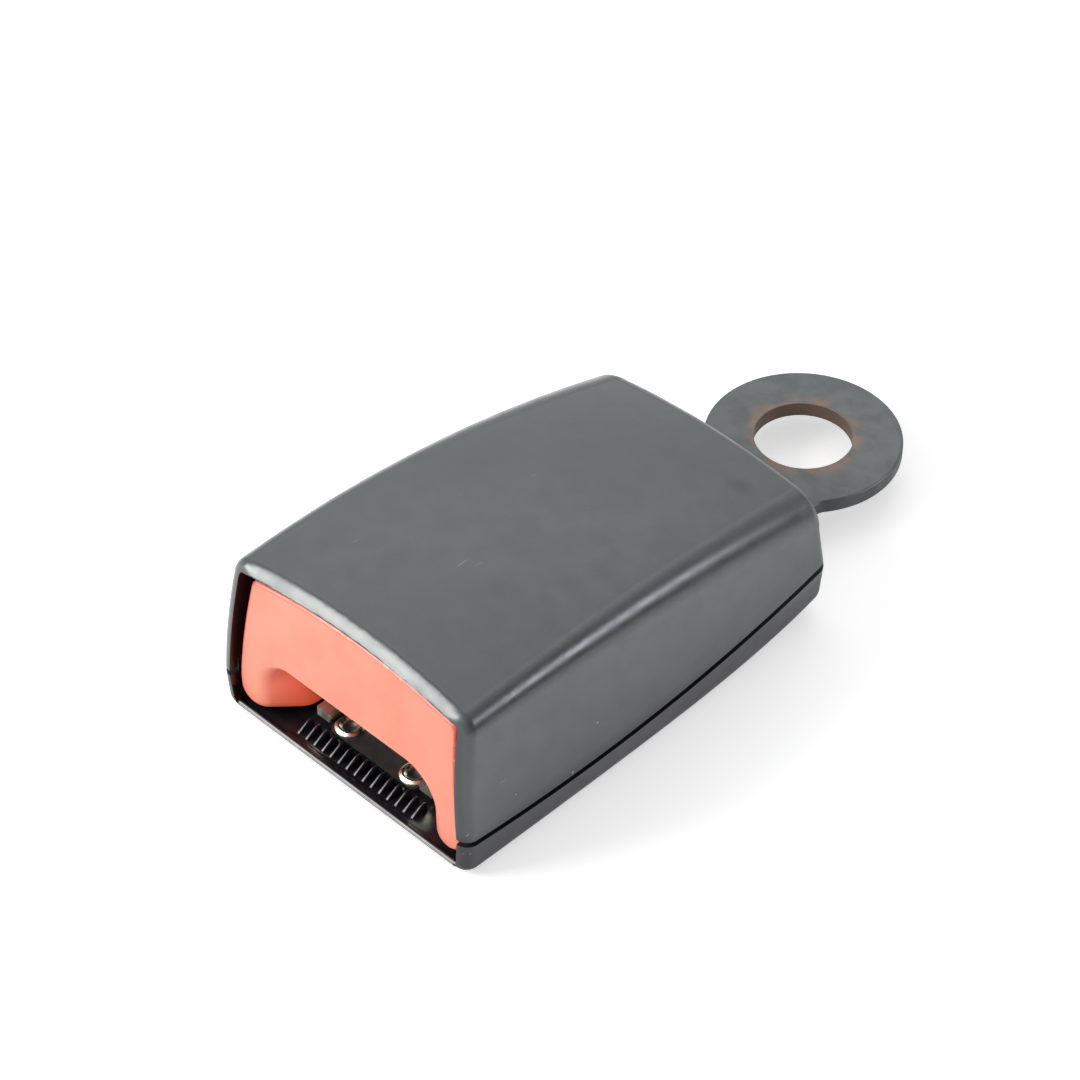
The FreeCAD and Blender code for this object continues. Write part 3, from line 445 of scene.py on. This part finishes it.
class Nodes:
    """Short ways to add nodes to a tree."""

    def __init__(self, tree):
        self.tree = tree

    def node(self, kind, **settings):
        """A new node with its settings."""
        made = self.tree.nodes.new(kind)
        for key, value in settings.items():
            setattr(made, key, value)
        return made

    def link(self, source, target):
        """Lead an output to an input."""
        self.tree.links.new(source, target)

    def math(self, operation, *values):
        """Result of an operation on numbers and outputs."""
        made = self.node("ShaderNodeMath", operation=operation)
        for slot, value in enumerate(values):
            if isinstance(value, (int, float)):
                made.inputs[slot].default_value = value
            else:
                self.link(value, made.inputs[slot])
        return made.outputs[0]

    def step(self, source, low, high, start=0.0, end=1.0):
        """Smooth step from start at low to end at high, also where low is the larger one."""
        if low > high:
            low, high, start, end = high, low, end, start
        made = self.node("ShaderNodeMapRange", interpolation_type="SMOOTHSTEP")
        limits = {"From Min": low, "From Max": high, "To Min": start, "To Max": end}
        for name, value in limits.items():
            made.inputs[name].default_value = value
        self.link(source, made.inputs["Value"])
        return made.outputs[0]

    def seen_directly(self):
        """1 where a ray comes from the camera, a glossy surface or clear glass, else 0."""
        rays = self.node("ShaderNodeLightPath").outputs
        seen = self.math("MAXIMUM", rays["Is Camera Ray"], rays["Is Glossy Ray"])
        return self.math("MAXIMUM", seen, rays["Is Transmission Ray"])


class Finish(Nodes):
    """A material under construction: its shader and the place on the piece, in metres."""

    def __init__(self, name, colour, roughness, metallic=0.0, specular=0.5):
        self.material = bpy.data.materials.new(name)
        self.material.use_nodes = True
        super().__init__(self.material.node_tree)
        self.shader = self.tree.nodes["Principled BSDF"]
        self.shader.inputs["Base Color"].default_value = (*colour, 1.0)
        self.shader.inputs["Roughness"].default_value = roughness
        self.shader.inputs["Metallic"].default_value = metallic
        self.shader.inputs["Specular IOR Level"].default_value = specular
        self.place = self.node("ShaderNodeTexCoord").outputs["Object"]
        self.height = None

    def grain(self, size, detail=2.0, stretch=(1, 1, 1), turn=0.0):
        """Noise whose patches are about size metres across, longer along a stretched axis."""
        mapping = self.node("ShaderNodeMapping")
        mapping.inputs["Rotation"].default_value = (0, 0, turn)
        mapping.inputs["Scale"].default_value = [1 / (size * s) for s in stretch]
        noise = self.node("ShaderNodeTexNoise")
        noise.inputs["Scale"].default_value = 1.0
        noise.inputs["Detail"].default_value = detail
        self.link(self.place, mapping.inputs["Vector"])
        self.link(mapping.outputs[0], noise.inputs["Vector"])
        return noise.outputs["Fac"]

    def specks(self, spacing, radius, share):
        """1 on small round specks in a share of the cells of an irregular grid, else 0."""
        cells = self.node("ShaderNodeTexVoronoi")
        cells.inputs["Scale"].default_value = 1 / spacing
        self.link(self.place, cells.inputs["Vector"])
        near = self.step(cells.outputs["Distance"], radius / spacing, radius / spacing * 0.6)
        pick = self.node("ShaderNodeSeparateColor")
        self.link(cells.outputs["Color"], pick.inputs[0])
        return self.math("MULTIPLY", near, self.step(pick.outputs[0], 1 - share, 1 - share + 0.01))

    def attribute(self, name):
        """A value that the piece carries for each point, 0 where it has none."""
        return self.node("ShaderNodeAttribute", attribute_name=name).outputs["Fac"]

    def along(self, axis):
        """The place along one axis, in metres."""
        axes = self.node("ShaderNodeSeparateXYZ")
        self.link(self.place, axes.inputs[0])
        return axes.outputs[axis]

    def height_above(self, level):
        """Height above a level of the mouth frame, in metres."""
        return self.math("SUBTRACT", self.along("Z"), float(row((0, 0, level))[2]))

    def distance(self, point, flat=False):
        """Distance of the surface from a point in the mouth frame, in metres."""
        away = self.node("ShaderNodeVectorMath", operation="DISTANCE")
        scaled = self.node("ShaderNodeVectorMath", operation="MULTIPLY")
        scaled.inputs[1].default_value = (1, 1, 0 if flat else 1)
        self.link(self.place, scaled.inputs[0])
        self.link(scaled.outputs[0], away.inputs[0])
        target = row(point)
        away.inputs[1].default_value = (target[0], target[1], 0 if flat else target[2])
        return away.outputs["Value"]

    def paint(self, factor, colour):
        """Lay a colour over the base colour where the factor is high."""
        mix = self.node("ShaderNodeMix", data_type="RGBA")
        self.link(factor, mix.inputs["Factor"])
        target = self.shader.inputs["Base Color"]
        if target.is_linked:
            self.link(target.links[0].from_socket, mix.inputs[6])
        else:
            mix.inputs[6].default_value = target.default_value
        mix.inputs[7].default_value = (*colour, 1.0)
        self.link(mix.outputs[2], target)

    def rough(self, source, low, high):
        """Roughness between two values, as a grain goes from low to high."""
        self.link(self.step(source, 0.2, 0.8, low, high), self.shader.inputs["Roughness"])

    def bump(self, source, depth, strength=1.0):
        """Relief of a depth in metres."""
        made = self.node("ShaderNodeBump")
        made.inputs["Strength"].default_value = strength
        made.inputs["Distance"].default_value = depth
        self.link(source, made.inputs["Height"])
        if self.height is not None:
            self.link(self.height, made.inputs["Normal"])
        self.height = made.outputs[0]
        self.link(self.height, self.shader.inputs["Normal"])


# Camera

CAMERA_TURNS = (44.47, 42.39, 0.268)  # azimuth, elevation and roll in degrees
CAMERA_TARGET, CAMERA_DISTANCE = (0.0, 33.0, 12.0), 433.9
CAMERA_SHIFT = (-0.94, -5.28)  # right and up
FOCAL_PIXELS, IMAGE_PIXELS, SENSOR = 3451.8, 1080, 36.0


def camera():
    """A long lens in front of the mouth, to the right and above, as in the photograph."""
    azimuth, elevation, roll = (math.radians(angle) for angle in CAMERA_TURNS)
    back = np.array([math.sin(azimuth) * math.cos(elevation),
                     -math.cos(azimuth) * math.cos(elevation),
                     math.sin(elevation)])
    level = np.array([math.cos(azimuth), math.sin(azimuth), 0.0])
    upright = np.cross(back, level)
    right = math.cos(roll) * level + math.sin(roll) * upright
    up = math.cos(roll) * upright - math.sin(roll) * level
    shift_right, shift_up = CAMERA_SHIFT
    place = row(CAMERA_TARGET + back * CAMERA_DISTANCE - right * shift_right - up * shift_up)
    data = bpy.data.cameras.new("photo_camera")
    data.sensor_width = SENSOR
    data.lens = FOCAL_PIXELS / IMAGE_PIXELS * SENSOR
    data.clip_start, data.clip_end = 0.01, 20.0
    eye = add_object("photo_camera", data)
    matrix = Matrix.Identity(4)
    for column, axis in enumerate((right, up, back)):
        for line in range(3):
            matrix[line][column] = axis[line]
    matrix.translation = Vector(place)
    eye.matrix_world = matrix
    bpy.context.scene.camera = eye


# Light and floor

ROOM_ON_SURFACES, ROOM_SEEN = 0.42, 1.0
LAMP_AIM = (0, 25, 12)

# Each lamp: name, place from the aim and size in metres, power in watts, colour, rays that miss it
LAMPS = (
    ("window", (-0.56, -0.72, 0.58), (0.5, 0.4), 7.5, (1.0, 0.99, 0.95), ()),
    ("right_fill", (0.75, -0.75, 0.25), (0.5, 0.5), 3.2, (1.0, 0.98, 0.97), ("glossy",)),
    ("window_glow", (-0.56, -0.72, 0.62), (0.8, 1.1), 26.0, (0.96, 1.0, 0.96), ("diffuse",)),
    ("back_glow", (-0.8, 0.8, 0.9), (2.0, 1.5), 3.2, (0.9, 1.0, 1.0), ("diffuse",)),
    ("ceiling", (-0.5, 0.6, 0.9), (0.9, 0.9), 3.0, (0.97, 1.0, 1.0), ()),
    ("right_streak", (0.72, 0.58, 0.56), (0.8, 0.26), 10.0, (0.93, 0.91, 1.0), ("diffuse",)),
)

# The table lies a little under the part. Its own light, and the half widths in metres between which
# reflections of it brighten away from the part
TABLE_GAP, TABLE_HALF = 0.00002, 3
TABLE_SEEN, TABLE_REFLECTED, TABLE_AT_PART = 0.5, 1.3, 0.25
TABLE_DARK_HALF, TABLE_BRIGHT_HALF = 0.019, 0.038
CARD_X, CARD_LIFT = 0.9, 0.02


def hide_from(thing, rays):
    """Take a lamp or panel out of the view of some kinds of rays."""
    for kind in rays:
        setattr(thing, "visible_" + kind, False)


def soft_lamp(name, offset, size, power, colour, hidden_from):
    """A rectangular lamp that looks at the part's front half from an offset."""
    data = bpy.data.lights.new(name, "AREA")
    data.shape = "RECTANGLE"
    data.size, data.size_y = size
    data.energy = power
    data.color = colour
    lamp = add_object(name, data)
    aim = row(LAMP_AIM)
    place = aim + np.array(offset)
    lamp.location = Vector(place)
    lamp.rotation_euler = (Vector(aim) - Vector(place)).to_track_quat("-Z", "Y").to_euler()
    hide_from(lamp, hidden_from)


def studio_panel(name, corners, material):
    """One flat four-cornered panel of the studio."""
    mesh = bpy.data.meshes.new(name)
    mesh.from_pydata(corners, [], [(0, 1, 2, 3)])
    panel = add_object(name, mesh)
    mesh.materials.append(material)
    return panel


def white_table():
    """White table top: its own light fills it up to white, the object's shadow stays, clear from below.

    Its reflection in the part is darker close to the part, where the part shades it.
    """
    top = Finish("white_table", (0.86, 0.86, 0.86), 0.95, specular=0.0)
    top.shader.inputs["Emission Color"].default_value = (1, 1, 1, 1)
    reflected = top.step(top.seen_directly(), 0.0, 1.0, 0.0, TABLE_REFLECTED)
    aside = top.math("ABSOLUTE", top.along("X"))
    shade = top.step(aside, TABLE_DARK_HALF, TABLE_BRIGHT_HALF, TABLE_AT_PART)
    light = top.node("ShaderNodeMix")
    top.link(top.node("ShaderNodeLightPath").outputs["Is Camera Ray"], light.inputs["Factor"])
    top.link(top.math("MULTIPLY", reflected, shade), light.inputs[2])
    light.inputs[3].default_value = TABLE_SEEN
    top.link(light.outputs[0], top.shader.inputs["Emission Strength"])
    sides = top.node("ShaderNodeMixShader")
    top.link(top.node("ShaderNodeNewGeometry").outputs["Backfacing"], sides.inputs[0])
    top.link(top.shader.outputs[0], sides.inputs[1])
    top.link(top.node("ShaderNodeBsdfTransparent").outputs[0], sides.inputs[2])
    top.link(sides.outputs[0], top.tree.nodes["Material Output"].inputs["Surface"])
    return top.material


def white_room():
    """A world that surfaces get less light from than the camera and reflections see."""
    room = bpy.data.worlds.new("white_room")
    bpy.context.scene.world = room
    room.use_nodes = True
    sky = room.node_tree.nodes["Background"]
    sky.inputs["Color"].default_value = (1, 1, 1, 1)
    nodes = Nodes(room.node_tree)
    level = nodes.step(nodes.seen_directly(), 0.0, 1.0, ROOM_ON_SURFACES, ROOM_SEEN)
    nodes.link(level, sky.inputs["Strength"])


def studio():
    """White room, table, lamps and a card.

    A window stands at the front left with its wider glow, a fill at the right, a glow and a soft lamp
    above the back, and a violet streak behind the right side. The glows and the streak are only
    reflected. The matt black card keeps the room's white off the right side.
    """
    white_room()
    for lamp in LAMPS:
        soft_lamp(*lamp)
    low = cad_box[0].z - TABLE_GAP
    half = TABLE_HALF
    floor = [(-half, -half, low), (half, -half, low), (half, half, low), (-half, half, low)]
    studio_panel("table", floor, white_table())
    foot = low + CARD_LIFT
    upright = [(CARD_X, -1.5, foot), (CARD_X, 2.2, foot), (CARD_X, 2.6, 2.9), (CARD_X, -1.5, 2.2)]
    black = Finish("dark_card", (0.012, 0.012, 0.014), 1.0, specular=0.0).material
    hide_from(studio_panel("card", upright, black), ("camera", "diffuse"))


# Finishes: colours are linear, sizes and depths in metres

# Place of a sink mark, painted as a darker patch, and of the scratches
SINK_MARK = (11.8, 58.3, 19.3)
SCRATCHES = ((21.2, 0.9, 6.4), (21.0, 0.8, 3.4))


def cover_plastic():
    """Semi-gloss black moulded plastic with grain, dust and short scratches; painted shade darkens it
    below the seam.
    """
    finish = Finish("cover_plastic", (0.04, 0.049, 0.053), 0.34)
    mottling = finish.step(finish.grain(0.012, 3), 0.35, 0.7)
    finish.paint(mottling, (0.034, 0.042, 0.046))
    pale_grain = finish.math("MULTIPLY", finish.grain(0.0004, 2), 0.3)
    finish.paint(pale_grain, (0.07, 0.08, 0.082))
    # Painted shade between the comb's ribs, from the comb's values
    finish.paint(finish.attribute("hollow_shade"), (0.004, 0.004, 0.005))
    # Painted shade: darker and more violet below the seam, full below 4.6 mm and gone above 7.2 mm
    shade_below_seam = finish.step(finish.height_above(0.0), 0.0072, 0.0046)
    finish.paint(finish.math("MULTIPLY", shade_below_seam, 0.9), (0.006, 0.006, 0.011))
    hairs = finish.step(finish.grain(0.0005, 1, (1, 9, 1), 0.5), 0.73, 0.78)
    worn = finish.step(finish.grain(0.007, 1), 0.62, 0.7)
    finish.paint(finish.math("MULTIPLY", hairs, worn), (0.16, 0.18, 0.18))
    dust = finish.specks(0.0045, 0.0002, 0.16)
    finish.paint(dust, (0.3, 0.33, 0.3))
    for point in SCRATCHES:
        near = finish.step(finish.distance(point), 0.0009, 0.0005)
        mark = finish.step(finish.grain(0.0003, 0, (1, 4, 1), 1.2), 0.62, 0.66)
        finish.paint(finish.math("MULTIPLY", near, mark), (0.4, 0.43, 0.42))
    # Painted shade: a sink mark's dent is not modelled, so a darker round patch is painted in the top
    # there
    sink_shade = finish.step(finish.distance(SINK_MARK), 0.0026, 0.0004)
    finish.paint(finish.math("MULTIPLY", sink_shade, 0.8), (0.008, 0.009, 0.009))
    # Painted reflection: the mouth's inner walls are painted dark red, as if they reflected the button
    inner = finish.attribute("inner_wall")
    finish.paint(inner, (0.012, 0.004, 0.004))
    moulded = finish.step(finish.grain(0.003, 3), 0.2, 0.8, 0.28, 0.4)
    smoother_inside = finish.math("MULTIPLY_ADD", inner, -0.55, 1.0)
    roughness = finish.math("MULTIPLY", moulded, smoother_inside)
    finish.link(roughness, finish.shader.inputs["Roughness"])
    finish.bump(finish.grain(0.00045, 2), 0.00001, 0.5)
    finish.bump(finish.grain(0.006, 1), 0.00005, 0.5)
    return finish.material


def button_red():
    """Smooth coral red plastic, with painted shade: deeper red in the scoop and along the face's rounded
    edge, broken up by a grain.
    """
    finish = Finish("button_red", (0.86, 0.29, 0.2), 0.4)
    mottling = finish.step(finish.grain(0.006, 2), 0.35, 0.75)
    finish.paint(mottling, (0.84, 0.26, 0.175))
    # Painted shade: the scoop behind the face is painted deeper red, more so the deeper it goes
    finish.paint(finish.attribute("hollow_shade"), (0.95, 0.13, 0.06))
    # Painted shade: the face's rounded edge is painted deeper red, with gaps where a grain is high
    edge_shade_breaks = finish.step(finish.grain(0.0009, 2), 0.7, 0.62)
    edge_shade = finish.math("MULTIPLY", finish.attribute("edge"), edge_shade_breaks)
    finish.paint(edge_shade, (0.86, 0.1, 0.06))
    dust = finish.specks(0.005, 0.00014, 0.12)
    finish.paint(dust, (0.92, 0.5, 0.42))
    finish.rough(finish.grain(0.0025, 2), 0.34, 0.48)
    finish.bump(finish.grain(0.0005, 2), 0.000008, 0.4)
    return finish.material


def slider_plastic():
    """Matt black acetal with a fine moulded grain."""
    finish = Finish("slider_plastic", (0.035, 0.035, 0.038), 0.5)
    finish.paint(finish.step(finish.grain(0.004, 3), 0.4, 0.7), (0.05, 0.05, 0.053))
    finish.rough(finish.grain(0.002, 2), 0.42, 0.58)
    finish.bump(finish.grain(0.0004, 2), 0.00001, 0.5)
    return finish.material


def bush_plastic():
    """Natural off-white acetal."""
    finish = Finish("bush_plastic", (0.72, 0.7, 0.62), 0.42)
    finish.paint(finish.step(finish.grain(0.002, 2), 0.4, 0.7), (0.66, 0.63, 0.54))
    finish.rough(finish.grain(0.001, 2), 0.36, 0.5)
    finish.bump(finish.grain(0.0003, 2), 0.000006, 0.4)
    return finish.material


def worn_steel(name, colour, stain, roughness, streak):
    """Bare or plated sheet steel: rolled streaks, stains and small scratches."""
    finish = Finish(name, colour, roughness, 1.0)
    finish.paint(finish.step(finish.grain(0.005, 4), 0.45, 0.7), stain)
    lines = finish.grain(0.0002, 2, (1, streak, 1))
    finish.rough(lines, roughness - 0.08, roughness + 0.12)
    finish.bump(lines, 0.000012, 0.5)
    return finish.material


def frame_steel():
    """Zinc plated sheet, slightly yellow."""
    return worn_steel("frame_steel", (0.58, 0.56, 0.48), (0.46, 0.44, 0.36), 0.36, 18)


def rivet_steel():
    """Zinc plated turned steel."""
    return worn_steel("rivet_steel", (0.6, 0.59, 0.55), (0.45, 0.44, 0.4), 0.34, 4)


def latch_steel():
    """Hardened steel, a little darker."""
    return worn_steel("latch_steel", (0.42, 0.41, 0.4), (0.32, 0.3, 0.28), 0.34, 14)


def spring_steel():
    """Drawn spring wire."""
    return worn_steel("spring_steel", (0.5, 0.5, 0.5), (0.38, 0.37, 0.36), 0.28, 3)


def eyelet_metal():
    """Bright nickel with a light brown tarnish in patches."""
    finish = Finish("eyelet_metal", (0.8, 0.78, 0.7), 0.24, 1.0)
    finish.paint(finish.step(finish.grain(0.0015, 3), 0.5, 0.7), (0.6, 0.55, 0.44))
    finish.rough(finish.grain(0.0008, 2), 0.18, 0.36)
    finish.bump(finish.grain(0.0004, 2), 0.00001, 0.4)
    return finish.material


def clip_steel():
    """Blued spring steel sheet."""
    finish = Finish("clip_steel", (0.06, 0.065, 0.07), 0.36, 0.6)
    finish.paint(finish.step(finish.grain(0.003, 3), 0.5, 0.7), (0.09, 0.075, 0.06))
    finish.rough(finish.grain(0.0012, 3), 0.28, 0.46)
    finish.bump(finish.grain(0.0003, 2), 0.000008, 0.5)
    return finish.material


def plate_steel():
    """Dark slate phosphated steel with pale specks, rust brown round the hole and in it."""
    finish = Finish("plate_steel", (0.068, 0.076, 0.078), 0.44, 0.2)
    mottling = finish.step(finish.grain(0.004, 4), 0.4, 0.7)
    finish.paint(mottling, (0.052, 0.06, 0.062))
    pale_grain = finish.math("MULTIPLY", finish.grain(0.0006, 3), 0.3)
    finish.paint(pale_grain, (0.1, 0.108, 0.106))
    from_hole = finish.distance((0, EYE_Y, EYE_Z), flat=True)
    ring = finish.step(from_hole, 0.0092, 0.0068)
    patches = finish.step(finish.grain(0.003, 3), 0.4, 0.62)
    finish.paint(finish.math("MULTIPLY", ring, patches), (0.17, 0.1, 0.07))
    bore = finish.step(from_hole, 0.0071, 0.0067)
    finish.paint(finish.math("MULTIPLY", bore, 0.8), (0.13, 0.08, 0.055))
    pale_specks = finish.specks(0.0035, 0.00025, 0.15)
    finish.paint(pale_specks, (0.24, 0.25, 0.24))
    finish.rough(finish.grain(0.002, 4), 0.32, 0.52)
    finish.bump(finish.grain(0.0007, 3), 0.00002, 0.6)
    return finish.material


def pad_felt():
    """Black felt."""
    finish = Finish("pad_felt", (0.03, 0.03, 0.03), 0.95, 0.0, 0.2)
    finish.paint(finish.step(finish.grain(0.0005, 4), 0.4, 0.7), (0.06, 0.06, 0.06))
    finish.bump(finish.grain(0.0003, 4), 0.00008, 0.9)
    finish.shader.inputs["Sheen Weight"].default_value = 0.3
    return finish.material


def dress_nodes():
    """Give every solid of the frame the finish of its slot, and return the finishes by name."""
    makers = (cover_plastic, button_red, slider_plastic, bush_plastic, frame_steel, plate_steel,
              rivet_steel, clip_steel, eyelet_metal, latch_steel, spring_steel, pad_felt)
    made = {make.__name__: make() for make in makers}
    for part in frame["record"]["subparts"]:
        piece = frame["nodes"][part["node"]]
        piece.data.materials.clear()
        piece.data.materials.append(made[part["material_slot"]])
    return made


camera()
studio()
finishes = dress_nodes()
release_button()
upper_cover()
comb()
eyelet_bore_shades()
lower_cover()

bpy.context.scene.view_settings.view_transform = "Standard"
